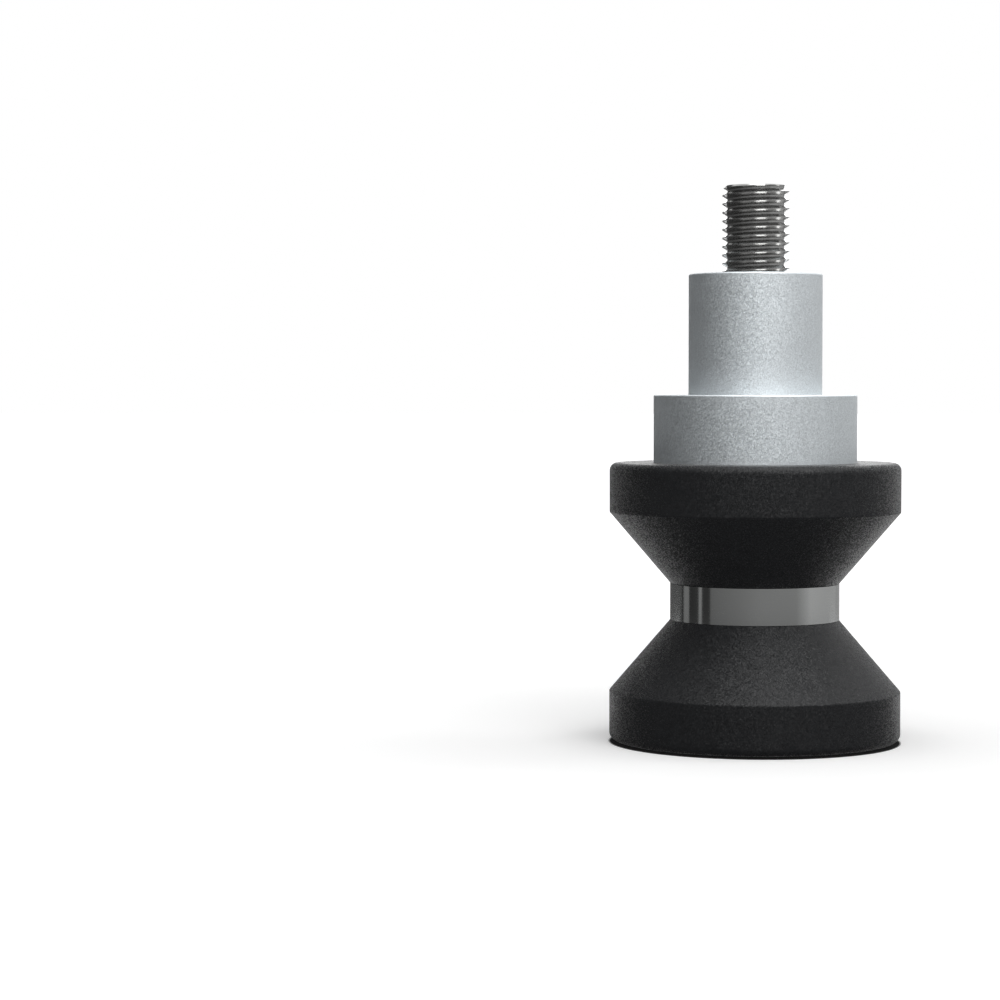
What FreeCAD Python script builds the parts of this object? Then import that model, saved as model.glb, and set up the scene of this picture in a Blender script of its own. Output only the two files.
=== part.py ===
import FreeCAD, Part
import os
import Sketcher

# A paddock-stand spool for a motorbike's swingarm, in millimetres. Everything is turned about
# one axis, +Z, which points from the outer face towards the swingarm. The origin is on that
# axis at the outer face, where the spool stands. Two moulded reel halves with conical flanks
# sit either side of a steel wear collar. A top-hat sleeve inside them carries the bolt's load
# to the stepped spacer, whose neck and thread reach into the swingarm.

# Driving dimensions: name, size and meaning.
DIMENSIONS = [
    ("reel_diameter", 43.0, "rim of each reel half"),
    ("band_length", 7.3, "straight part of the rim"),
    ("cone_length", 10.5, "height of the conical flank"),
    ("face_rounding", 1.15, "rounding between rim and end face"),
    ("flank_rounding", 0.3, "rounding between rim and flank"),
    ("mouth_rounding", 2.0, "rounded lip of the bolt's counterbore"),
    ("collar_diameter", 25.0, "wear collar, and the small end of each flank"),
    ("collar_length", 5.5, "running width that the stand's hook sits on"),
    ("collar_chamfer", 0.08, "broken edges of the collar"),
    ("flange_diameter", 30.0, "wide step of the spacer"),
    ("flange_length", 10.0, "thickness of that step"),
    ("neck_diameter", 19.7, "narrow step of the spacer"),
    ("neck_length", 17.8, "length of the narrow step"),
    ("spacer_rounding", 0.25, "rounded upper edges of the spacer's flange and neck"),
    ("bore_diameter", 10.5, "clearance hole for the bolt"),
    ("bore_chamfer", 0.6, "lead-in of that hole"),
    ("sleeve_diameter", 14.0, "outside of the sleeve's tube"),
    ("sleeve_clearance", 0.05, "radial gap between the sleeve and what slides on it"),
    ("hat_thickness", 1.5, "flange of the sleeve, under the bolt's head"),
    ("hat_clearance", 0.25, "radial gap between that flange and the counterbore"),
    ("head_clearance", 0.75, "radial gap between the bolt's head and the counterbore"),
    ("head_recess", 1.9, "how far the bolt's head lies below the outer face"),
    ("head_diameter", 16.0, "socket head of an M10 bolt"),
    ("head_height", 10.0, "height of that head"),
    ("head_rounding", 0.5, "rounded rim of the head"),
    ("seat_rounding", 0.5, "fillet between head and shank"),
    ("bolt_diameter", 9.9, "shank, and crests of the M10 x 1.25 thread"),
    ("bolt_length", 70.0, "from under the head to the tip"),
    ("tip_chamfer", 0.5, "chamfer of the threaded tip"),
    ("key_width", 8.0, "hexagon socket across its flats"),
    ("socket_depth", 5.0, "depth of the hexagon"),
    ("drill_margin", 0.3, "radial step between the hexagon's flats and the drilled point"),
]

# Lengths that several pieces share, written as expressions on the sheet.
HALF_LENGTH = "(Dimensions.band_length + Dimensions.cone_length)"
REEL_LENGTH = "(2 * " + HALF_LENGTH + " + Dimensions.collar_length)"
SEAT_HEIGHT = "(Dimensions.head_recess + Dimensions.head_height)"
COUNTERBORE_DEPTH = "(" + SEAT_HEIGHT + " + Dimensions.hat_thickness)"
COUNTERBORE_RADIUS = "(Dimensions.head_diameter / 2 + Dimensions.head_clearance)"
SLEEVE_HOLE_RADIUS = "(Dimensions.sleeve_diameter / 2 + Dimensions.sleeve_clearance)"
BORE_RADIUS = "(Dimensions.bore_diameter / 2)"
CORNER_RADIUS = "(Dimensions.key_width / sqrt(3))"
DRILL_RADIUS = "(Dimensions.key_width / 2 - Dimensions.drill_margin)"

# Slope of the socket's lead-in and of its drilled point, measured from the flat.
CONE_SLOPE = "tan(30 deg)"

# Edges closer than this to a wanted radius and height are taken as the same.
NEAR = 1e-4


def make_sheet(doc):
    """Write the driving dimensions into a sheet, one row each."""
    sheet = doc.addObject("Spreadsheet::Sheet", "Dimensions")
    for row, (alias, size, meaning) in enumerate(DIMENSIONS, start=1):
        sheet.set(f"A{row}", alias)
        sheet.set(f"B{row}", str(size))
        sheet.setAlias(f"B{row}", alias)
        sheet.set(f"C{row}", meaning)
    doc.recompute()
    return sheet


def value(owner, expression):
    """Work out an expression on the sheet as a plain number."""
    result = owner.evalExpression(expression)
    return float(getattr(result, "Value", result))


def origin_plane(body, role):
    """Find one of the body's own origin planes."""
    for feature in body.Origin.OriginFeatures:
        if feature.Role == role:
            return feature
    raise ValueError(role)


def new_sketch(body, name, role):
    """Start a sketch on one of the body's origin planes."""
    sketch = body.newObject("Sketcher::SketchObject", name)
    sketch.AttachmentSupport = [(origin_plane(body, role), "")]
    sketch.MapMode = "FlatFace"
    return sketch


def fix_coordinate(sketch, kind, corner, expression):
    """Hold one coordinate of a corner, on an axis or at a size from the sheet."""
    axis = -2 if kind == "DistanceX" else -1
    if expression == "0":
        sketch.addConstraint(Sketcher.Constraint("PointOnObject", corner, 1, axis))
        return
    size = value(sketch, expression)
    index = sketch.addConstraint(Sketcher.Constraint(kind, -1, 1, corner, 1, size))
    sketch.setExpression(f"Constraints[{index}]", expression)


def add_outline(sketch, corners):
    """Draw a closed outline through corners given as pairs of radius and height."""
    points = [
        FreeCAD.Vector(value(sketch, radius), value(sketch, height), 0)
        for radius, height in corners
    ]
    count = len(corners)
    for index in range(count):
        end = points[(index + 1) % count]
        sketch.addGeometry(Part.LineSegment(points[index], end), False)
    for index in range(count):
        after = (index + 1) % count
        sketch.addConstraint(Sketcher.Constraint("Coincident", index, 2, after, 1))
        if corners[index][0] == corners[after][0]:
            sketch.addConstraint(Sketcher.Constraint("Vertical", index))
        if corners[index][1] == corners[after][1]:
            sketch.addConstraint(Sketcher.Constraint("Horizontal", index))
    for place, kind in enumerate(("DistanceX", "DistanceY")):
        for index in range(count):
            expression = corners[index][place]
            from_before = index > 0 and corners[index - 1][place] == expression
            from_first = index == count - 1 and corners[0][place] == expression
            if not from_before and not from_first:
                fix_coordinate(sketch, kind, index, expression)


def turned_body(doc, name, corners):
    """Start a body with the solid that an outline sweeps about the axis."""
    body = doc.addObject("PartDesign::Body", name)
    body.Label = name
    sketch = new_sketch(body, name + "_outline", "XZ_Plane")
    add_outline(sketch, corners)
    turned = body.newObject("PartDesign::Revolution", name + "_turned")
    turned.Profile = sketch
    turned.ReferenceAxis = (sketch, ["V_Axis"])
    turned.Angle = 360
    doc.recompute()
    return body


def turned_cut(body, name, corners):
    """Cut away what an outline sweeps about the axis."""
    sketch = new_sketch(body, name + "_outline", "XZ_Plane")
    add_outline(sketch, corners)
    groove = body.newObject("PartDesign::Groove", name)
    groove.Profile = sketch
    groove.ReferenceAxis = (sketch, ["V_Axis"])
    groove.Angle = 360
    cut_something(body, groove)


def cut_something(body, cut):
    """Recompute a cut and make sure that it took material away."""
    before = cut.BaseFeature.Shape.Volume
    body.Document.recompute()
    if cut.Shape.Volume > before - NEAR:
        raise RuntimeError(cut.Name + " cuts nothing")


def rings(body, radius, height):
    """Name the body's circular edges of one radius at one height."""
    radius = value(body, radius)
    height = value(body, height)
    names = []
    for index, edge in enumerate(body.Tip.Shape.Edges, start=1):
        if edge.Curve.TypeId != "Part::GeomCircle":
            continue
        same_radius = abs(edge.Curve.Radius - radius) < NEAR
        same_height = abs(edge.Curve.Center.z - height) < NEAR
        if same_radius and same_height:
            names.append(f"Edge{index}")
    if not names:
        raise RuntimeError(f"{body.Name} has no edge of radius {radius} at {height}")
    return names


def round_edge(body, name, radius, height, size):
    """Round a circular edge of the body."""
    base = body.Tip
    edges = rings(body, radius, height)
    fillet = body.newObject("PartDesign::Fillet", name)
    fillet.Base = (base, edges)
    fillet.setExpression("Radius", size)
    body.Document.recompute()


def break_edge(body, name, radius, height, size):
    """Chamfer a circular edge of the body at 45 degrees."""
    base = body.Tip
    edges = rings(body, radius, height)
    chamfer = body.newObject("PartDesign::Chamfer", name)
    chamfer.Base = (base, edges)
    chamfer.setExpression("Size", size)
    body.Document.recompute()


def lift(body, height):
    """Stand a body's own origin at a height on the common axis."""
    body.setExpression("Placement.Base.z", height)
    body.Document.recompute()


def reel_half(doc, name):
    """Mould one half of the reel: rim, conical flank and sleeve hole, with its end face at 0."""
    rim = "Dimensions.reel_diameter / 2"
    small_end = "Dimensions.collar_diameter / 2"
    body = turned_body(doc, name, [
        (SLEEVE_HOLE_RADIUS, "0"),
        (rim, "0"),
        (rim, "Dimensions.band_length"),
        (small_end, HALF_LENGTH),
        (SLEEVE_HOLE_RADIUS, HALF_LENGTH),
    ])
    round_edge(body, name + "_face_rounding", rim, "0", "Dimensions.face_rounding")
    round_edge(body, name + "_flank_rounding", rim, "Dimensions.band_length",
               "Dimensions.flank_rounding")
    return body


def outer_reel_half(doc):
    """Make the half that faces outwards and hides the bolt's head in a round-lipped counterbore."""
    body = reel_half(doc, "outer_reel_half")
    turned_cut(body, "head_counterbore", [
        ("0", "0"),
        (COUNTERBORE_RADIUS, "0"),
        (COUNTERBORE_RADIUS, COUNTERBORE_DEPTH),
        ("0", COUNTERBORE_DEPTH),
    ])
    round_edge(body, "counterbore_lip", COUNTERBORE_RADIUS, "0", "Dimensions.mouth_rounding")
    return body


def inner_reel_half(doc):
    """Make the plain half that the spacer stands on, turned over to face its twin."""
    body = reel_half(doc, "inner_reel_half")
    body.Placement.Rotation = FreeCAD.Rotation(FreeCAD.Vector(1, 0, 0), 180)
    lift(body, REEL_LENGTH)
    return body


def wear_collar(doc):
    """Turn the steel ring that the paddock stand's hook bears on."""
    outside = "Dimensions.collar_diameter / 2"
    length = "Dimensions.collar_length"
    body = turned_body(doc, "wear_collar", [
        (SLEEVE_HOLE_RADIUS, "0"),
        (outside, "0"),
        (outside, length),
        (SLEEVE_HOLE_RADIUS, length),
    ])
    break_edge(body, "collar_outer_end", outside, "0", "Dimensions.collar_chamfer")
    break_edge(body, "collar_inner_end", outside, length, "Dimensions.collar_chamfer")
    lift(body, HALF_LENGTH)
    return body


def flanged_sleeve(doc):
    """Turn the top-hat sleeve that carries the bolt's load past the plastic to the spacer."""
    hat = f"({COUNTERBORE_RADIUS} - Dimensions.hat_clearance)"
    tube = "Dimensions.sleeve_diameter / 2"
    length = f"({REEL_LENGTH} - {SEAT_HEIGHT})"
    body = turned_body(doc, "flanged_sleeve", [
        (BORE_RADIUS, "0"),
        (hat, "0"),
        (hat, "Dimensions.hat_thickness"),
        (tube, "Dimensions.hat_thickness"),
        (tube, length),
        (BORE_RADIUS, length),
    ])
    break_edge(body, "sleeve_lead_in", BORE_RADIUS, "0", "Dimensions.bore_chamfer")
    lift(body, SEAT_HEIGHT)
    return body


def offset_spacer(doc):
    """Turn the stepped spacer that holds the reel clear of the swingarm."""
    flange = "Dimensions.flange_diameter / 2"
    neck = "Dimensions.neck_diameter / 2"
    top = "(Dimensions.flange_length + Dimensions.neck_length)"
    body = turned_body(doc, "offset_spacer", [
        (BORE_RADIUS, "0"),
        (flange, "0"),
        (flange, "Dimensions.flange_length"),
        (neck, "Dimensions.flange_length"),
        (neck, top),
        (BORE_RADIUS, top),
    ])
    break_edge(body, "spacer_lead_in", BORE_RADIUS, top, "Dimensions.bore_chamfer")
    size = "Dimensions.spacer_rounding"
    round_edge(body, "flange_top_edge", flange, "Dimensions.flange_length", size)
    round_edge(body, "neck_top_edge", neck, top, size)
    lift(body, REEL_LENGTH)
    return body


def key_hexagon(body):
    """Sketch the key's hexagon on the head's face, one corner on the X axis."""
    sketch = new_sketch(body, "key_hexagon", "XY_Plane")
    radius = value(body, CORNER_RADIUS)
    circle = Part.Circle(FreeCAD.Vector(0, 0, 0), FreeCAD.Vector(0, 0, 1), radius)
    corner = FreeCAD.Vector(radius, 0, 0)
    sixth = FreeCAD.Rotation(FreeCAD.Vector(0, 0, 1), 60)
    for _ in range(6):
        after = sixth.multVec(corner)
        sketch.addGeometry(Part.LineSegment(corner, after), False)
        corner = after
    guide = sketch.addGeometry(circle, True)
    sketch.addConstraint(Sketcher.Constraint("Coincident", guide, 3, -1, 1))
    for side in range(6):
        sketch.addConstraint(Sketcher.Constraint("Coincident", side, 2, (side + 1) % 6, 1))
        sketch.addConstraint(Sketcher.Constraint("PointOnObject", side, 1, guide))
    for side in range(1, 6):
        sketch.addConstraint(Sketcher.Constraint("Equal", 0, side))
    sketch.addConstraint(Sketcher.Constraint("PointOnObject", 0, 1, -1))
    index = sketch.addConstraint(Sketcher.Constraint("Radius", guide, radius))
    sketch.setExpression(f"Constraints[{index}]", CORNER_RADIUS)
    return sketch


def clamp_bolt(doc):
    """Make the socket-head bolt: forged head, shank, and tip of the threaded end."""
    head = "Dimensions.head_diameter / 2"
    shank = "Dimensions.bolt_diameter / 2"
    tip = "(Dimensions.head_height + Dimensions.bolt_length)"
    body = turned_body(doc, "clamp_bolt", [
        ("0", "0"),
        (head, "0"),
        (head, "Dimensions.head_height"),
        (shank, "Dimensions.head_height"),
        (shank, tip),
        ("0", tip),
    ])
    break_edge(body, "bolt_tip", shank, tip, "Dimensions.tip_chamfer")
    round_edge(body, "bolt_seat", shank, "Dimensions.head_height", "Dimensions.seat_rounding")
    round_edge(body, "head_rim", head, "0", "Dimensions.head_rounding")
    hexagon = key_hexagon(body)
    socket = body.newObject("PartDesign::Pocket", "key_socket")
    socket.Profile = hexagon
    socket.setExpression("Length", "Dimensions.socket_depth")
    socket.Reversed = True
    cut_something(body, socket)
    turned_cut(body, "socket_lead_in", [
        ("0", "0"),
        (CORNER_RADIUS, "0"),
        ("0", f"{CORNER_RADIUS} * {CONE_SLOPE}"),
    ])
    turned_cut(body, "socket_drill_point", [
        ("0", "Dimensions.socket_depth"),
        (DRILL_RADIUS, "Dimensions.socket_depth"),
        ("0", f"Dimensions.socket_depth + {DRILL_RADIUS} * {CONE_SLOPE}"),
    ])
    lift(body, "Dimensions.head_recess")
    return body


def check(doc, bodies):
    """Stop if any object failed to compute or any sub-part is not one valid solid."""
    for item in doc.Objects:
        if "Invalid" in item.State or "Error" in item.State:
            raise RuntimeError(f"{item.Name}: {item.State}")
    for body in bodies:
        shape = body.Shape
        if shape.isNull() or not shape.isValid() or len(shape.Solids) != 1:
            raise RuntimeError(body.Label + " is not one valid solid")


def main():
    """Build every sub-part, check it and write it to its own file."""
    doc = FreeCAD.newDocument("SwingarmSpool")
    make_sheet(doc)
    bodies = [
        outer_reel_half(doc),
        wear_collar(doc),
        inner_reel_half(doc),
        flanged_sleeve(doc),
        offset_spacer(doc),
        clamp_bolt(doc),
    ]
    doc.recompute()
    check(doc, bodies)
    os.makedirs("parts", exist_ok=True)
    for body in bodies:
        body.Shape.exportStep(f"parts/{body.Label}.step")
        box = body.Shape.optimalBoundingBox(False)
        print(f"{body.Label}: z {box.ZMin:.3f} to {box.ZMax:.3f}, across {box.XLength:.3f}, "
              f"{body.Shape.Volume:.1f} mm3")


main()
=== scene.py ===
"""Dress a paddock-stand spool for a motorbike's swingarm and light it in a small studio.

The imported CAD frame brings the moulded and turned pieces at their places. This script gives
each of them its finish, models the socket-head bolt with its real thread, prints plain marks
on the outer face, and sets up floor, cards, lamps and camera. The spool stands on its outer
face, with its axis on +Z. Lengths are metres, written as millimetres times MM.
"""

import logging
import math
from collections.abc import Callable, Sequence
from dataclasses import dataclass
from enum import Enum

import bpy
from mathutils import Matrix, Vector


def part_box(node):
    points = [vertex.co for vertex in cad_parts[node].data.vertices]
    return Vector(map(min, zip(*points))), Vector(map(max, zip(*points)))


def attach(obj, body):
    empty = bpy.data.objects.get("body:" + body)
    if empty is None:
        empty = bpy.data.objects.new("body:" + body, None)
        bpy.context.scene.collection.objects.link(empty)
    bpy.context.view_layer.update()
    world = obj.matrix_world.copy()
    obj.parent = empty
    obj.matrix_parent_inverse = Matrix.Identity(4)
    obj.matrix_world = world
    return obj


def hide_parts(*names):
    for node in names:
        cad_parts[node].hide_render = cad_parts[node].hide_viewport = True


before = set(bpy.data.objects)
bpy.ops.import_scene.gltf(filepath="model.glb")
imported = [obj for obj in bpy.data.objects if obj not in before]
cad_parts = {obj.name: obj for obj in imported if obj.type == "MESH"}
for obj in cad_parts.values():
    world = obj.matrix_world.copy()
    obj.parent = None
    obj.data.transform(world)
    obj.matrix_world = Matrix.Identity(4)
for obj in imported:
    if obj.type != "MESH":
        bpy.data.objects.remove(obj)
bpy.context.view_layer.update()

MM = 0.001

# The camera's place, and its turn about the spool's axis
EYE = Vector((-37.73 * MM, -419.8 * MM, 51.65 * MM)).freeze()
EYE_TURN = math.atan2(EYE.x, -EYE.y)

# Points nearer than DOUBLES are one point. Heights and the ends of a sweep meet within MEETS
DOUBLES = 1e-7
MEETS = 1e-6

# Nearly all of a facet field's values and of a noise's values lie in these ranges
FACET_RANGE = (0.2, 0.8)
NOISE_RANGE = (0.35, 0.65)

Colour = tuple[float, float, float]
Ring = tuple[float, float]

logging.basicConfig(level=logging.INFO, format="%(message)s")
log = logging.getLogger("swingarm spool")


class Grain(Enum):
    """How a surface was worked, which shapes its grain."""

    SPECKLED = "tiny facets that catch the light at random: spark-eroded or blasted"
    TURNED = "rings about the spool's axis, as a lathe leaves them"
    PLAIN = "a soft even grain, as on rolled steel or dried ink"


class NodeSheet:
    """A node tree, with short calls that add, join and set its nodes."""

    def __init__(self, tree: bpy.types.NodeTree) -> None:
        """Take a tree and empty it."""
        self.tree = tree
        self.tree.nodes.clear()

    def add(self, kind: str, **settings: object) -> bpy.types.Node:
        """Add a node.

        Args:
            kind: the node's type, without its ShaderNode prefix.
            **settings: values for the node's own properties.

        Returns:
            The new node.
        """
        node = self.tree.nodes.new("ShaderNode" + kind)
        for key, value in settings.items():
            setattr(node, key, value)
        return node

    def join(self, source: bpy.types.NodeSocket, target: bpy.types.NodeSocket) -> None:
        """Link an output to an input."""
        self.tree.links.new(source, target)

    def math(self, operation: str, *terms: object) -> bpy.types.NodeSocket:
        """Work out one operation on numbers or sockets.

        Args:
            operation: the Math node's operation.
            *terms: its inputs in order, each a number or an output socket.

        Returns:
            The result's socket.
        """
        node = self.add("Math", operation=operation)
        for target, term in zip(node.inputs, terms):
            if isinstance(term, bpy.types.NodeSocket):
                self.join(term, target)
            else:
                target.default_value = term
        return node.outputs[0]

    def spread(self, source: bpy.types.NodeSocket, low: float, high: float,
               start: float, end: float) -> bpy.types.NodeSocket:
        """Map a range of values onto another range, and hold its ends beyond them.

        Args:
            source: the socket to map.
            low: result at the start of the source's range.
            high: result at its end.
            start: where the source's range starts.
            end: where it ends.

        Returns:
            The mapped value's socket.
        """
        node = self.add("MapRange")
        self.join(source, node.inputs[0])
        for target, number in zip(node.inputs[1:5], (start, end, low, high)):
            target.default_value = number
        return node.outputs[0]

    def noise(self, vector: bpy.types.NodeSocket, scale: float,
              detail: float = 2.0) -> bpy.types.NodeSocket:
        """Add a noise on a vector.

        Args:
            vector: the coordinates it reads.
            scale: how many grains it has in one unit of them.
            detail: how many finer layers it adds.

        Returns:
            The noise's value socket.
        """
        node = self.add("TexNoise")
        self.join(vector, node.inputs["Vector"])
        node.inputs["Scale"].default_value = scale
        node.inputs["Detail"].default_value = detail
        return node.outputs[0]

    def facets(self, vector: bpy.types.NodeSocket, scale: float,
               slope: float) -> tuple[bpy.types.NodeSocket, bpy.types.NodeSocket]:
        """Add a field of tiny facets on a vector, each tipped its own way.

        Args:
            vector: the coordinates it reads.
            scale: how many facets it has in one unit of them.
            slope: how far they tip from the surface, as rise over run.

        Returns:
            The sockets of the facets' chance value and of their normal.
        """
        cells = self.add("TexVoronoi")
        self.join(vector, cells.inputs["Vector"])
        cells.inputs["Scale"].default_value = scale
        apart = self.add("SeparateColor")
        self.join(cells.outputs["Color"], apart.inputs[0])
        chance = self.add("VectorMath", operation="SUBTRACT")
        self.join(cells.outputs["Color"], chance.inputs[0])
        chance.inputs[1].default_value = (0.5, 0.5, 0.5)
        tipped = self.add("VectorMath", operation="MULTIPLY_ADD")
        self.join(chance.outputs[0], tipped.inputs[0])
        tipped.inputs[1].default_value = (2 * slope, 2 * slope, 2 * slope)
        self.join(self.add("NewGeometry").outputs["Normal"], tipped.inputs[2])
        normal = self.add("VectorMath", operation="NORMALIZE")
        self.join(tipped.outputs[0], normal.inputs[0])
        return apart.outputs[0], normal.outputs[0]

    def seen_by_mirrors(self) -> bpy.types.NodeSocket:
        """Tell the rays of the camera, of gloss and of glass from the rest.

        Returns:
            A socket that is 1 on those rays and 0 on the others.
        """
        path = self.add("LightPath")
        either = self.math("MAXIMUM", path.outputs["Is Camera Ray"],
                           path.outputs["Is Glossy Ray"])
        return self.math("MAXIMUM", either, path.outputs["Is Transmission Ray"])


@dataclass(frozen=True)
class Finish:
    """One surface finish of the spool.

    Attributes:
        name: the material's name.
        dark: tone in the hollows of the grain.
        light: tone on its tops.
        gloss: lowest and highest roughness.
        grain: width of one grain.
        relief: height of the grain.
        metal: 1 for bare metal, 0 for plastic and ink.
        specular: strength of a non-metal's reflection, 0.5 for common plastic.
        sheen: strength of the soft glow that a fine grain has where it is seen edge on.
        sheen_roughness: how wide that glow spreads.
        worked: how the surface was worked.
        patch: width of the slow changes of tone.
        fine_share: how much of the tone is the grain's, the rest being the patches'.
    """

    name: str
    dark: Colour
    light: Colour
    gloss: tuple[float, float]
    grain: float
    relief: float
    metal: float = 0.0
    specular: float = 0.5
    sheen: float = 0.0
    sheen_roughness: float = 0.3
    worked: Grain = Grain.PLAIN
    patch: float = 9.0 * MM
    fine_share: float = 0.7

    def coordinates(self, sheet: NodeSheet) -> bpy.types.NodeSocket:
        """Lay out the coordinates that the grain reads, in metres.

        Args:
            sheet: the material's nodes.

        Returns:
            A vector socket: the place itself, or radius and height for turned work.
        """
        spot = sheet.add("TexCoord").outputs["Object"]
        if self.worked is not Grain.TURNED:
            return spot
        apart = sheet.add("SeparateXYZ")
        sheet.join(spot, apart.inputs[0])
        across, along, height = apart.outputs
        radius = sheet.math("SQRT", sheet.math("ADD", sheet.math("MULTIPLY", across, across),
                                               sheet.math("MULTIPLY", along, along)))
        rings = sheet.add("CombineXYZ")
        sheet.join(radius, rings.inputs[0])
        sheet.join(height, rings.inputs[1])
        return rings.outputs[0]

    def material(self) -> bpy.types.Material:
        """Build the finish as a node material.

        Returns:
            The material, ready for a slot.
        """
        made = bpy.data.materials.new(self.name)
        made.use_nodes = True
        sheet = NodeSheet(made.node_tree)
        where = self.coordinates(sheet)
        if self.worked is Grain.SPECKLED:
            fine, normal = sheet.facets(where, 1 / self.grain, 2 * self.relief / self.grain)
            usual = FACET_RANGE
        else:
            fine = sheet.noise(where, 1 / self.grain)
            bump = sheet.add("Bump")
            bump.inputs["Strength"].default_value = 1.0
            bump.inputs["Distance"].default_value = self.relief
            sheet.join(fine, bump.inputs["Height"])
            normal = bump.outputs[0]
            usual = NOISE_RANGE
        slow = sheet.noise(sheet.add("TexCoord").outputs["Object"], 1 / self.patch, 1.0)

        tone = sheet.add("ValToRGB")
        tone.color_ramp.elements[0].color = (*self.dark, 1)
        tone.color_ramp.elements[1].color = (*self.light, 1)
        mixed = sheet.math("ADD", sheet.math("MULTIPLY", fine, self.fine_share),
                           sheet.math("MULTIPLY", slow, 1 - self.fine_share))
        sheet.join(sheet.spread(mixed, 0.0, 1.0, *usual), tone.inputs[0])

        shader = sheet.add("BsdfPrincipled")
        shader.inputs["Metallic"].default_value = self.metal
        shader.inputs["Specular IOR Level"].default_value = self.specular
        shader.inputs["Sheen Weight"].default_value = self.sheen
        shader.inputs["Sheen Roughness"].default_value = self.sheen_roughness
        sheet.join(tone.outputs[0], shader.inputs["Base Color"])
        sheet.join(sheet.spread(mixed, *self.gloss, *usual), shader.inputs["Roughness"])
        sheet.join(normal, shader.inputs["Normal"])
        output = sheet.add("OutputMaterial")
        sheet.join(shader.outputs[0], output.inputs["Surface"])
        return made


class Bench:
    """The modelling bench: one piece at a time, shaped with Blender's operators."""

    @staticmethod
    def clear() -> None:
        """Leave edit mode and put down everything that is selected."""
        if bpy.context.object and bpy.context.object.mode != "OBJECT":
            bpy.ops.object.mode_set(mode="OBJECT")
        bpy.ops.object.select_all(action="DESELECT")

    @staticmethod
    def take(piece: bpy.types.Object) -> None:
        """Select one piece alone and make it active.

        Args:
            piece: the piece to work on.
        """
        Bench.clear()
        piece.select_set(True)
        bpy.context.view_layer.objects.active = piece

    @staticmethod
    def edit(piece: bpy.types.Object, action: str = "SELECT") -> None:
        """Open one piece for editing with all or none of it selected.

        Args:
            piece: the piece to work on.
            action: SELECT for all of it, DESELECT for none.
        """
        Bench.take(piece)
        bpy.ops.object.mode_set(mode="EDIT")
        bpy.ops.mesh.select_mode(type="VERT")
        bpy.ops.mesh.select_all(action=action)

    @staticmethod
    def tidy(piece: bpy.types.Object) -> None:
        """Merge doubles, turn the faces outwards and leave edit mode.

        Args:
            piece: the piece to clean.
        """
        Bench.edit(piece)
        bpy.ops.mesh.remove_doubles(threshold=DOUBLES)
        bpy.ops.mesh.normals_make_consistent(inside=False)
        Bench.clear()

    @staticmethod
    def turned(name: str, outline: Sequence[Ring], sides: int) -> bpy.types.Object:
        """Raise a turned solid ring by ring, each ring extruded from the last and scaled.

        Args:
            name: the piece's name.
            outline: radius and height of each ring, from the bottom up.
            sides: how many sides the rings have.

        Returns:
            The closed solid.
        """
        Bench.clear()
        radius, height = outline[0]
        bpy.ops.mesh.primitive_circle_add(vertices=sides, radius=radius, fill_type="NGON",
                                          location=(0, 0, height))
        piece = bpy.context.object
        piece.name = name
        bpy.ops.object.transform_apply(location=True)
        Bench.edit(piece)
        for wider, higher in outline[1:]:
            rise = (0, 0, higher - height)
            bpy.ops.mesh.extrude_region_move(TRANSFORM_OT_translate={"value": rise})
            bpy.ops.transform.resize(value=(wider / radius, wider / radius, 1),
                                     center_override=(0, 0, 0))
            radius, height = wider, higher
        Bench.tidy(piece)
        return piece

    @staticmethod
    def drawn(name: str, points: Sequence[Vector]) -> bpy.types.Object:
        """Draw an open line of edges by extruding one vertex from point to point.

        Args:
            name: the piece's name.
            points: the line's points in order.

        Returns:
            The line of edges, out of edit mode.
        """
        Bench.clear()
        bpy.ops.mesh.primitive_plane_add(size=MM, location=(0, 0, 0))
        piece = bpy.context.object
        piece.name = name
        Bench.edit(piece)
        bpy.ops.mesh.merge(type="CENTER")
        bpy.ops.transform.translate(value=points[0])
        for start, end in zip(points, points[1:]):
            bpy.ops.mesh.extrude_region_move(TRANSFORM_OT_translate={"value": end - start})
        Bench.clear()
        return piece

    @staticmethod
    def combine(piece: bpy.types.Object, tool: bpy.types.Object, operation: str) -> None:
        """Cut or trim a piece with a tool, which is used up.

        Args:
            piece: the piece that stays.
            tool: the closed solid that shapes it.
            operation: DIFFERENCE, INTERSECT or UNION.
        """
        Bench.take(piece)
        bpy.ops.object.modifier_add(type="BOOLEAN")
        step = piece.modifiers[-1]
        step.operation = operation
        step.solver = "EXACT"
        step.object = tool
        bpy.ops.object.modifier_apply(modifier=step.name)
        bpy.data.objects.remove(tool)

    @staticmethod
    def select_faces(piece: bpy.types.Object, wanted: Callable[[Vector, Vector], bool]) -> None:
        """Select a piece's faces by place and normal, then open it for editing.

        Args:
            piece: the piece.
            wanted: takes a face's centre and normal, and says whether to select it.
        """
        Bench.edit(piece, "DESELECT")
        bpy.ops.mesh.select_mode(type="FACE")
        bpy.ops.object.mode_set(mode="OBJECT")
        for face in piece.data.polygons:
            face.select = wanted(face.center, face.normal)
        bpy.ops.object.mode_set(mode="EDIT")

    @staticmethod
    def join(piece: bpy.types.Object, *others: bpy.types.Object) -> None:
        """Join other pieces into this one.

        Args:
            piece: the piece that stays.
            *others: the pieces that become part of it.
        """
        Bench.take(piece)
        for other in others:
            other.select_set(True)
        bpy.ops.object.join()

    @staticmethod
    def smooth(piece: bpy.types.Object, degrees: float = 30.0) -> None:
        """Shade a piece smooth.

        Args:
            piece: the piece to shade.
            degrees: edges that are sharper than this stay crisp.
        """
        Bench.take(piece)
        bpy.ops.object.shade_smooth_by_angle(angle=math.radians(degrees))
        Bench.clear()


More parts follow.
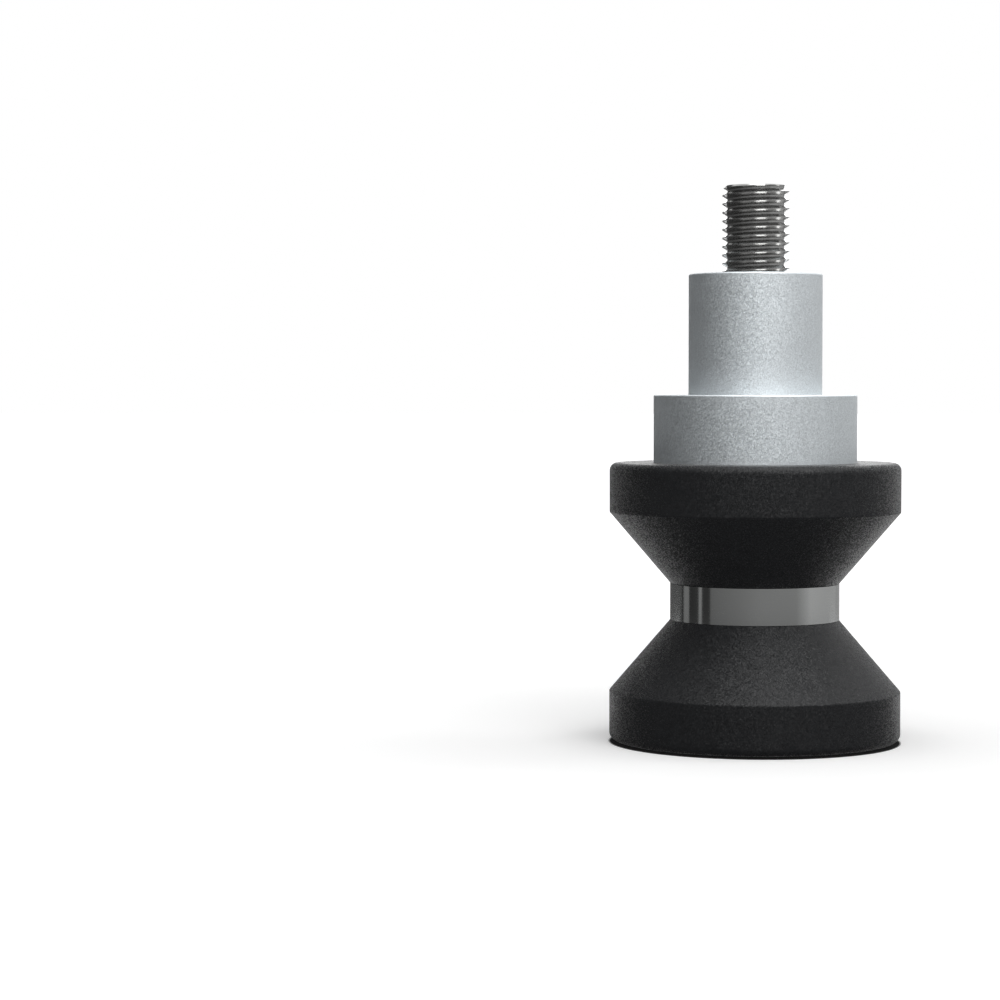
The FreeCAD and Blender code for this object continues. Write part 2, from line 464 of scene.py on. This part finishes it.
def arc(centre: Ring, radius: float, start: float, end: float, steps: int) -> list[Ring]:
    """List the rings along a rounding.

    Args:
        centre: radius and height of the rounding's centre.
        radius: size of the rounding.
        start: first angle in degrees, from outwards (0) to upwards (90).
        end: last angle in degrees.
        steps: how many steps lie between them.

    Returns:
        Radius and height of each ring, both ends included.
    """
    rings = []
    for step in range(steps + 1):
        angle = math.radians(start + (end - start) * step / steps)
        rings.append((centre[0] + radius * math.cos(angle),
                      centre[1] + radius * math.sin(angle)))
    return rings


def spin_steps(sweep: float, step: float) -> int:
    """Give the number of steps for a spin, of about one step's angle each, four at least."""
    return max(4, round(abs(sweep) / step))


def dress(node: str, material: bpy.types.Material) -> None:
    """Give a CAD node its finish and report it.

    Args:
        node: the node's name.
        material: the finish for all of its slots.
    """
    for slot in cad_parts[node].material_slots:
        slot.material = material
    log.info("%s: %s", node, material.name)


def place(piece: bpy.types.Object, material: bpy.types.Material, body: str) -> None:
    """Finish a new piece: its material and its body.

    Args:
        piece: the modelled piece.
        material: its finish.
        body: the CAD body that it rides on.
    """
    piece.data.materials.clear()
    piece.data.materials.append(material)
    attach(piece, body)
    log.info("%s: %d faces, %s", piece.name, len(piece.data.polygons), material.name)


@dataclass
class Reel:
    """The two moulded halves, the steel collar between them and the sleeve inside.

    Attributes:
        plastic: finish of the two halves.
        steel: finish of the collar.
        tube: finish of the sleeve.
    """

    plastic: Finish = Finish("black_moulded_plastic", (0.0075, 0.0080, 0.0090),
                             (0.0115, 0.0122, 0.0136), (0.38, 0.52), specular=0.25,
                             sheen=0.26, grain=0.12 * MM, relief=0.018 * MM,
                             worked=Grain.SPECKLED)
    steel: Finish = Finish("polished_turned_steel", (0.50, 0.51, 0.505), (0.58, 0.59, 0.585),
                           (0.08, 0.15), metal=1.0, grain=0.10 * MM, relief=0.0006 * MM,
                           worked=Grain.TURNED)
    tube: Finish = Finish("turned_sleeve_aluminium", (0.60, 0.61, 0.62), (0.70, 0.71, 0.72),
                          (0.25, 0.38), metal=1.0, grain=0.12 * MM, relief=0.002 * MM,
                          worked=Grain.TURNED)

    def build(self) -> None:
        """Dress the CAD nodes of the reel."""
        black = self.plastic.material()
        dress("outer_reel_half", black)
        dress("inner_reel_half", black)
        dress("wear_collar", self.steel.material())
        dress("flanged_sleeve", self.tube.material())


@dataclass
class FacePrint:
    """Plain printed marks on the outer face, in the ring between its rim and the bolt.

    Attributes:
        body: the CAD body that the marks ride on.
        slot: the record's material slot that they belong to; not used.
        inner: inner radius of the ring.
        outer: outer radius of the ring.
        line: width of the long stripes, and of the gap under them.
        ink: how far the ink stands out of the face.
        sunk: how far the marks reach into it.
        stripe_sweep: how far a long stripe goes round, in degrees.
        bar_sweep: how far a short stripe goes round.
        bar_pitch: angle from one short stripe to the next.
        bars_aside: how many short stripes stand at each side of the middle one.
        dash_sweep: how far a dash goes round.
        step: angle of one step in the marks' curves.
        finish: finish of the ink.
    """

    body: str = "spool"
    slot: str = "reel_plastic"
    inner: float = 13.7 * MM
    outer: float = 16.3 * MM
    line: float = 0.5 * MM
    ink: float = 0.02 * MM
    sunk: float = 0.05 * MM
    stripe_sweep: float = 110
    bar_sweep: float = 4
    bar_pitch: float = 8
    bars_aside: int = 6
    dash_sweep: float = 12
    step: float = 3
    finish: Finish = Finish("white_printed_ink", (0.66, 0.66, 0.65), (0.76, 0.76, 0.75),
                            (0.45, 0.60), grain=0.3 * MM, relief=0.004 * MM)

    def stripe(self, name: str, middle: float, sweep: float, inner: float,
               outer: float) -> bpy.types.Object:
        """Spin a printed stripe along the ring.

        Args:
            name: the stripe's name.
            middle: the angle of its middle, in degrees.
            sweep: how far it goes round, in degrees.
            inner: its inner radius.
            outer: its outer radius.

        Returns:
            The closed stripe, a little proud of the face.
        """
        start = math.radians(middle - sweep / 2)
        way = Vector((math.cos(start), math.sin(start), 0))
        lift = Vector((0, 0, self.sunk))
        piece = Bench.drawn(name, [way * inner + lift, way * outer + lift])
        Bench.edit(piece)
        bpy.ops.mesh.spin(steps=spin_steps(sweep, self.step), angle=math.radians(sweep),
                          center=(0, 0, 0), axis=(0, 0, -1))
        bpy.ops.mesh.select_all(action="SELECT")
        down = (0, 0, -self.ink - self.sunk)
        bpy.ops.mesh.extrude_region_move(TRANSFORM_OT_translate={"value": down})
        Bench.tidy(piece)
        return piece

    def build(self) -> None:
        """Print two long stripes, a row of short ones under each, and a dash either side."""
        stripes = (90, 270)
        dashes = (0, 180)
        pieces = [self.stripe("face_print", middle, self.stripe_sweep,
                              self.outer - self.line, self.outer) for middle in stripes]
        for middle in stripes:
            for index in range(-self.bars_aside, self.bars_aside + 1):
                pieces.append(self.stripe("face_print_bar", middle + self.bar_pitch * index,
                                          self.bar_sweep, self.inner,
                                          self.outer - 2 * self.line))
        for middle in dashes:
            pieces.append(self.stripe("face_print_dash", middle, self.dash_sweep, self.inner,
                                      self.outer))
        Bench.join(*pieces)
        place(pieces[0], self.finish.material(), self.body)


@dataclass
class Spacer:
    """The stepped spacer that holds the reel clear of the swingarm.

    Attributes:
        finish: finish of the whole spacer.
    """

    finish: Finish = Finish("bead_blasted_aluminium", (0.60, 0.63, 0.65), (0.69, 0.73, 0.75),
                            (0.54, 0.64), metal=1.0, grain=0.12 * MM, relief=0.006 * MM,
                            worked=Grain.SPECKLED)

    def build(self) -> None:
        """Dress the CAD node of the spacer."""
        dress("offset_spacer", self.finish.material())


@dataclass
class ClampBolt:
    """The M10 socket-head bolt through the spool, with its thread cut.

    Attributes:
        node: the CAD node that the bolt stands for.
        body: the CAD body that it rides on.
        slot: the record's material slot that it belongs to; not used.
        head_radius: radius of the head.
        head_height: height of the head.
        head_rounding: rounding of the head's outer rim.
        head_steps: steps in that rounding.
        seat_rounding: hollow between head and shank.
        seat_steps: steps in that hollow.
        shank_radius: radius of the shank and of the thread's crests.
        thread_length: length of the thread.
        run_out: length over which the thread fades into the shank.
        pitch: the thread's pitch.
        thread_depth: depth of the thread from crest to root.
        crest_flat: width of the crest's flat.
        flank_angle: angle of each flank from square to the axis, in degrees.
        first_crest: how far the first crest's middle lies below the tip.
        tip_chamfer: chamfer of the tip.
        trim_margin: how far the solid that trims the tip reaches past it.
        key_flats: the key's width across flats.
        key_depth: depth of the socket.
        key_turn: turn of the socket about the axis, in degrees.
        drill_margin: how far inside the flats the drilled point stays.
        cone_angle: slope of the lead-in and of the drilled point, in degrees.
        lead_in_tip: radius at which the lead-in's cone is cut off.
        point_tip: radius at which the drilled point is cut off.
        proud: how far a cutting solid stands out of what it cuts.
        sides: how many sides the bolt's rings have.
        finish: finish of the whole bolt.
    """

    node: str = "clamp_bolt"
    body: str = "bolt"
    slot: str = "bolt_steel"
    head_radius: float = 8.0 * MM
    head_height: float = 10.0 * MM
    head_rounding: float = 0.5 * MM
    head_steps: int = 6
    seat_rounding: float = 0.5 * MM
    seat_steps: int = 4
    shank_radius: float = 4.95 * MM
    thread_length: float = 32.0 * MM
    run_out: float = 0.7 * MM
    pitch: float = 1.25 * MM
    thread_depth: float = 0.75 * MM
    crest_flat: float = 0.13 * MM
    flank_angle: float = 30.0
    first_crest: float = 0.855 * MM
    tip_chamfer: float = 0.5 * MM
    trim_margin: float = 0.3 * MM
    key_flats: float = 8.0 * MM
    key_depth: float = 5.0 * MM
    key_turn: float = 30.0
    drill_margin: float = 0.3 * MM
    cone_angle: float = 30.0
    lead_in_tip: float = 0.2 * MM
    point_tip: float = 0.05 * MM
    proud: float = 1.0 * MM
    sides: int = 96
    finish: Finish = Finish("dark_bolt_steel", (0.40, 0.40, 0.395), (0.48, 0.48, 0.475),
                            (0.14, 0.20), metal=1.0, grain=0.2 * MM, relief=0.0008 * MM)

    def __post_init__(self) -> None:
        """Take the bolt's two ends from the CAD node."""
        low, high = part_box(self.node)
        self.face, self.tip = low.z, high.z
        self.seat = self.face + self.head_height
        self.thread_start = self.tip - self.thread_length

    def head_and_shank(self) -> bpy.types.Object:
        """Turn the head and the plain shank, and cut the socket.

        Returns:
            The piece, open where the thread goes on.
        """
        rim = self.head_radius - self.head_rounding
        root = self.shank_radius + self.seat_rounding
        top = self.thread_start - self.run_out
        outline = [
            *arc((rim, self.face + self.head_rounding), self.head_rounding, -90, 0,
                 self.head_steps),
            (self.head_radius, self.seat),
            *arc((root, self.seat + self.seat_rounding), self.seat_rounding, 270, 180,
                 self.seat_steps),
            (self.shank_radius, top),
        ]
        piece = Bench.turned("bolt_head", outline, self.sides)
        self.cut_socket(piece)
        Bench.select_faces(piece, lambda centre, normal: abs(centre.z - top) < MEETS)
        bpy.ops.mesh.delete(type="FACE")
        return piece

    def cut_socket(self, piece: bpy.types.Object) -> None:
        """Cut the key's hexagon, its lead-in and its drilled point, and close what they split.

        Args:
            piece: the bolt's head.
        """
        corner = self.key_flats / math.sqrt(3)
        drill = self.key_flats / 2 - self.drill_margin
        slope = math.tan(math.radians(self.cone_angle))
        bottom = self.face + self.key_depth
        Bench.clear()
        bpy.ops.mesh.primitive_cylinder_add(
            vertices=6, radius=corner, depth=self.key_depth + self.proud,
            location=(0, 0, bottom - (self.key_depth + self.proud) / 2),
            rotation=(0, 0, math.radians(self.key_turn)))
        hexagon = bpy.context.object
        Bench.combine(piece, hexagon, "DIFFERENCE")
        lead_in = Bench.turned("lead_in", [
            (corner + self.proud / slope, self.face - self.proud),
            (self.lead_in_tip, self.face + (corner - self.lead_in_tip) * slope),
        ], self.sides)
        Bench.combine(piece, lead_in, "DIFFERENCE")
        point = Bench.turned("drill_point", [
            (drill, bottom - self.proud),
            (drill, bottom),
            (self.point_tip, bottom + (drill - self.point_tip) * slope),
        ], self.sides)
        Bench.combine(piece, point, "DIFFERENCE")
        Bench.edit(piece)
        bpy.ops.mesh.fill_holes(sides=3)
        Bench.tidy(piece)

    def pitch_profile(self, height: float) -> list[Vector]:
        """Draw one pitch of the thread from crest to crest, with a flat root between.

        Args:
            height: where the lower crest's middle lies.

        Returns:
            Points in the XZ plane, X the radius.
        """
        flat = self.crest_flat / 2
        flank = self.thread_depth * math.tan(math.radians(self.flank_angle))
        root = self.shank_radius - self.thread_depth
        steps = ((self.shank_radius, 0), (self.shank_radius, flat), (root, flat + flank),
                 (root, self.pitch - flat - flank), (self.shank_radius, self.pitch - flat),
                 (self.shank_radius, self.pitch))
        return [Vector((radius, 0, height + rise)) for radius, rise in steps]

    def thread(self) -> bpy.types.Object:
        """Sweep the thread up its helix, trim it and chamfer its tip.

        Returns:
            The threaded end, open where it meets the shank.
        """
        spare_turns = 2
        turns = math.ceil(self.thread_length / self.pitch) + spare_turns
        bottom = self.tip - self.first_crest - (turns - 1) * self.pitch
        piece = Bench.drawn("bolt_thread", self.pitch_profile(bottom))
        Bench.take(piece)
        bpy.ops.object.modifier_add(type="SCREW")
        sweep = piece.modifiers[-1]
        sweep.axis = "Z"
        sweep.angle = math.radians(360)
        sweep.screw_offset = self.pitch
        sweep.iterations = turns
        sweep.steps = sweep.render_steps = self.sides
        sweep.use_merge_vertices = True
        sweep.merge_threshold = MEETS
        bpy.ops.object.modifier_apply(modifier=sweep.name)
        Bench.tidy(piece)
        for height, clear_below in ((self.thread_start, True), (self.tip, False)):
            Bench.edit(piece)
            bpy.ops.mesh.bisect(plane_co=(0, 0, height), plane_no=(0, 0, 1), use_fill=True,
                                clear_inner=clear_below, clear_outer=not clear_below,
                                threshold=DOUBLES)
        Bench.tidy(piece)
        spare = self.trim_margin
        end = self.shank_radius - self.tip_chamfer
        blank = Bench.turned("tip_blank", [
            (self.shank_radius + spare, self.thread_start - spare),
            (self.shank_radius + spare, self.tip - self.tip_chamfer - spare),
            (end - spare, self.tip + spare),
        ], self.sides)
        Bench.combine(piece, blank, "INTERSECT")
        low = self.thread_start
        Bench.select_faces(piece, lambda centre, normal: abs(centre.z - low) < MEETS)
        bpy.ops.mesh.delete(type="FACE")
        return piece

    def build(self) -> None:
        """Model the bolt in one piece and let it stand for the CAD node.

        The shank's end and the thread's start are its only open rings, and they are bridged.
        """
        piece = self.head_and_shank()
        Bench.join(piece, self.thread())
        Bench.edit(piece, "DESELECT")
        bpy.ops.mesh.select_mode(type="EDGE")
        bpy.ops.mesh.select_non_manifold(use_wire=False, use_multi_face=False,
                                         use_non_contiguous=False, use_verts=False)
        bpy.ops.mesh.bridge_edge_loops()
        Bench.tidy(piece)
        piece.name = "threaded_bolt"
        Bench.smooth(piece)
        place(piece, self.finish.material(), self.body)
        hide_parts(self.node)


def direction(turn: float, tilt: float) -> Vector:
    """Give the direction at an angle from the camera's side and above the floor.

    Args:
        turn: degrees from the camera (0) to the right (90).
        tilt: degrees above the floor.

    Returns:
        A unit vector from the spool.
    """
    across = math.radians(turn) + EYE_TURN
    up = math.radians(tilt)
    return Vector((math.sin(across) * math.cos(up), -math.cos(across) * math.cos(up),
                   math.sin(up)))


@dataclass(frozen=True)
class Card:
    """A curved grey card that only gloss sees, standing on the floor round the spool.

    Attributes:
        name: the card's name.
        start: the angle where it begins, from the camera (0) to the right (90).
        end: the angle where it ends.
        tones: how bright it shows at its start and at its end.
        height: its height above the foot, or 0 for one that lies flat.
        away: its distance from the spool.
        hole: radius of the hole in the middle of a flat one.
        drop: how far a flat one lies below the foot.
        step: angle of one step in its curve.
    """

    name: str
    start: float
    end: float
    tones: tuple[float, float]
    height: float
    away: float = 200 * MM
    hole: float = 5 * MM
    drop: float = 0.01 * MM
    step: float = 4

    def build(self) -> None:
        """Spin the card round the spool from its first edge."""
        way = direction(self.start, 0)
        if self.height:
            edge = [way * self.away, way * self.away + Vector((0, 0, self.height))]
        else:
            low = Vector((0, 0, -self.drop))
            edge = [way * self.hole + low, way * self.away + low]
        card = Bench.drawn(self.name, edge)
        Bench.edit(card)
        sweep = self.end - self.start
        bpy.ops.mesh.spin(steps=spin_steps(sweep, self.step), angle=math.radians(sweep),
                          center=(0, 0, 0), axis=(0, 0, -1))
        Bench.clear()
        card.data.materials.append(self.glow())
        card.visible_camera = card.visible_diffuse = card.visible_shadow = False

    def glow(self) -> bpy.types.Material:
        """Make the card's glow, which goes evenly from its first tone to its last.

        Returns:
            The material.
        """
        made = bpy.data.materials.new(self.name)
        made.use_nodes = True
        sheet = NodeSheet(made.node_tree)
        apart = sheet.add("SeparateXYZ")
        sheet.join(sheet.add("TexCoord").outputs["Object"], apart.inputs[0])
        back = sheet.math("MULTIPLY", apart.outputs[1], -1.0)
        turn = sheet.math("ARCTAN2", apart.outputs[0], back)
        turn = sheet.math("SUBTRACT", turn, EYE_TURN)
        glow = sheet.add("Emission")
        sheet.join(sheet.spread(turn, *self.tones, math.radians(self.start),
                                math.radians(self.end)), glow.inputs["Strength"])
        sheet.join(glow.outputs[0], sheet.add("OutputMaterial").inputs["Surface"])
        return made


@dataclass(frozen=True)
class Lamp:
    """A soft box.

    Attributes:
        name: the lamp's name.
        turn: its angle about the spool, from the camera (0) to the right (90).
        tilt: its angle above the floor.
        away: distance from the spool.
        width: width of the box.
        height: height of the box.
        power: its power in watts.
        gloss_only: whether it shows in gloss alone and lights nothing matt.
    """

    name: str
    turn: float
    tilt: float
    away: float
    width: float
    height: float
    power: float
    gloss_only: bool = False

    def build(self, target: Vector) -> None:
        """Hang the lamp and aim it.

        Args:
            target: the point that it faces.
        """
        Bench.clear()
        way = direction(self.turn, self.tilt)
        bpy.ops.object.light_add(type="AREA", location=target + way * self.away)
        lamp = bpy.context.object
        lamp.name = self.name
        lamp.rotation_euler = way.to_track_quat("Z", "Y").to_euler()
        lamp.data.shape = "RECTANGLE"
        lamp.data.size = self.width
        lamp.data.size_y = self.height
        lamp.data.energy = self.power
        lamp.visible_diffuse = not self.gloss_only


@dataclass
class Studio:
    """Floor, background, cards, lamps and camera.

    Attributes:
        floor_gap: how far the floor lies below the spool's foot.
        floor_width: width of the floor.
        floor_tone: brightness of the floor's paint.
        floor_fade: distance from the spool at which the floor is white.
        fade_power: how fast the floor turns white on the way, 1 for evenly.
        painted_shadow_radius: radius of the painted contact shadow, a dark disc on the floor
            under the foot.
        painted_shadow_edge: width of that painted shadow's soft edge.
        painted_shadow_tone: brightness of that painted shadow, as a share of the floor's.
        ambient: strength of the world's light on what isn't gloss or glass.
        aim: the point that all lamps face.
        lens: the camera's focal length in millimetres.
        sensor: width of its sensor in millimetres.
        look_down: how far it looks down, in degrees.
        lamps: the lamps.
        cards: the cards.
    """

    floor_gap: float = 0.28 * MM
    floor_width: float = 12.0
    floor_tone: float = 0.91
    floor_fade: float = 0.7
    fade_power: float = 0.42
    # Painted contact shadow: a dark disc painted on the floor under the foot, where shade
    # falls; the floor's glow is taken out there too
    painted_shadow_radius: float = 21.35 * MM
    painted_shadow_edge: float = 0.4 * MM
    painted_shadow_tone: float = 0.03
    ambient: float = 0.28
    aim: Vector = Vector((0, 0, 35 * MM)).freeze()
    lens: float = 102.16
    sensor: float = 36
    look_down: float = 2.196
    lamps: tuple[Lamp, ...] = (
        Lamp("key_lamp", 17, 26, 0.9, 0.74, 0.74, 4.2),
        Lamp("high_lamp", 25, 58, 0.9, 0.46, 0.32, 3.9, gloss_only=True),
        Lamp("top_lamp", 15, 82, 0.9, 0.5, 0.5, 2.4),
        Lamp("side_lamp", 112, 34, 1.0, 0.26, 0.26, 0.8),
        Lamp("back_lamp", 180, 30, 0.9, 0.5, 0.5, 3.0, gloss_only=True),
    )
    cards: tuple[Card, ...] = (
        Card("front_right_card", 5, 58, (0.28, 0.31), 125 * MM),
        Card("front_grey_card", -36, 5, (0.214, 0.28), 145 * MM),
        Card("front_left_card", -60.5, -36, (0.176, 0.214), 180 * MM),
        Card("first_flag", -73.8, -60.5, (0.042, 0.042), 40 * MM, 190 * MM),
        Card("left_gap_strip", -79, -73.8, (0.31, 0.31), 40 * MM, 190 * MM),
        Card("second_flag", -97.2, -79, (0.034, 0.048), 40 * MM, 190 * MM),
        Card("left_back_strip", -109.3, -97.2, (0.24, 0.24), 40 * MM, 190 * MM),
        Card("third_flag", -114, -109.3, (0.03, 0.03), 40 * MM, 190 * MM),
        Card("left_card", -114, -60.5, (0.10, 0.14), 260 * MM),
        Card("back_left_card", -168, -114, (0.10, 0.11), 260 * MM),
        Card("back_card", 168, 192, (0.24, 0.24), 58 * MM),
        Card("back_strip", 168, 192, (2.4, 2.4), 130 * MM, 210 * MM),
        Card("back_right_card", 140, 168, (0.36, 0.36), 130 * MM),
        Card("right_card", 58, 140, (0.46, 0.46), 110 * MM),
        Card("right_turn_strip", 57, 77, (0.305, 0.51), 16 * MM, 190 * MM),
        Card("right_strip", 77, 140, (0.54, 0.44), 16 * MM, 190 * MM),
        Card("front_cloth", -120, 120, (0.09, 0.09), 0),
    )

    def background(self) -> None:
        """Light the scene evenly, with white where the camera and mirrors look."""
        world = bpy.context.scene.world or bpy.data.worlds.new("studio_air")
        bpy.context.scene.world = world
        world.use_nodes = True
        sheet = NodeSheet(world.node_tree)
        air = sheet.add("Background")
        air.inputs["Color"].default_value = (1, 1, 1, 1)
        sheet.join(sheet.spread(sheet.seen_by_mirrors(), self.ambient, 1.0, 0.0, 1.0),
                   air.inputs["Strength"])
        sheet.join(air.outputs[0], sheet.add("OutputWorld").inputs["Surface"])

    def floor(self) -> None:
        """Lay the white floor, which keeps the spool's shadow and has a painted contact shadow,
        a dark disc, under the foot.
        """
        Bench.clear()
        bpy.ops.mesh.primitive_plane_add(size=self.floor_width,
                                         location=(0, 0, -self.floor_gap))
        floor = bpy.context.object
        floor.name = "studio_floor"
        made = bpy.data.materials.new("white_floor_with_painted_shadow")
        made.use_nodes = True
        sheet = NodeSheet(made.node_tree)
        away = sheet.add("VectorMath", operation="LENGTH")
        sheet.join(sheet.add("TexCoord").outputs["Object"], away.inputs[0])
        # Painted contact shadow: within this radius the floor's paint and its glow go dark
        outside_painted_shadow = sheet.spread(away.outputs["Value"], self.painted_shadow_tone, 1.0,
                              self.painted_shadow_radius, self.painted_shadow_radius + self.painted_shadow_edge)
        paint = sheet.add("BsdfDiffuse")
        sheet.join(sheet.math("MULTIPLY", outside_painted_shadow, self.floor_tone), paint.inputs["Color"])
        share = sheet.math("DIVIDE", away.outputs["Value"], self.floor_fade)
        rise = sheet.math("MINIMUM", sheet.math("POWER", share, self.fade_power), 1.0)
        rise = sheet.math("MULTIPLY", rise, outside_painted_shadow)
        lift = sheet.add("Emission")
        sheet.join(sheet.math("MULTIPLY", sheet.seen_by_mirrors(), rise),
                   lift.inputs["Strength"])
        both = sheet.add("AddShader")
        sheet.join(paint.outputs[0], both.inputs[0])
        sheet.join(lift.outputs[0], both.inputs[1])
        sheet.join(both.outputs[0], sheet.add("OutputMaterial").inputs["Surface"])
        floor.data.materials.append(made)

    def camera(self) -> None:
        """Set the camera where the photograph was taken from."""
        Bench.clear()
        bpy.ops.object.camera_add(location=EYE,
                                  rotation=(math.radians(90 - self.look_down), 0, 0))
        camera = bpy.context.object
        camera.name = "photo_camera"
        camera.data.lens = self.lens
        camera.data.sensor_width = self.sensor
        bpy.context.scene.camera = camera

    def build(self) -> None:
        """Set up the whole studio."""
        bpy.context.scene.view_settings.view_transform = "Standard"
        self.background()
        self.floor()
        for lamp in self.lamps:
            lamp.build(self.aim)
        for card in self.cards:
            card.build()
        self.camera()
        log.info("studio: %d lamps, %d cards", len(self.lamps), len(self.cards))


def main() -> None:
    """Build every sub-assembly in order, then the studio."""
    Reel().build()
    FacePrint().build()
    Spacer().build()
    ClampBolt().build()
    Studio().build()


if __name__ == "__main__":
    main()
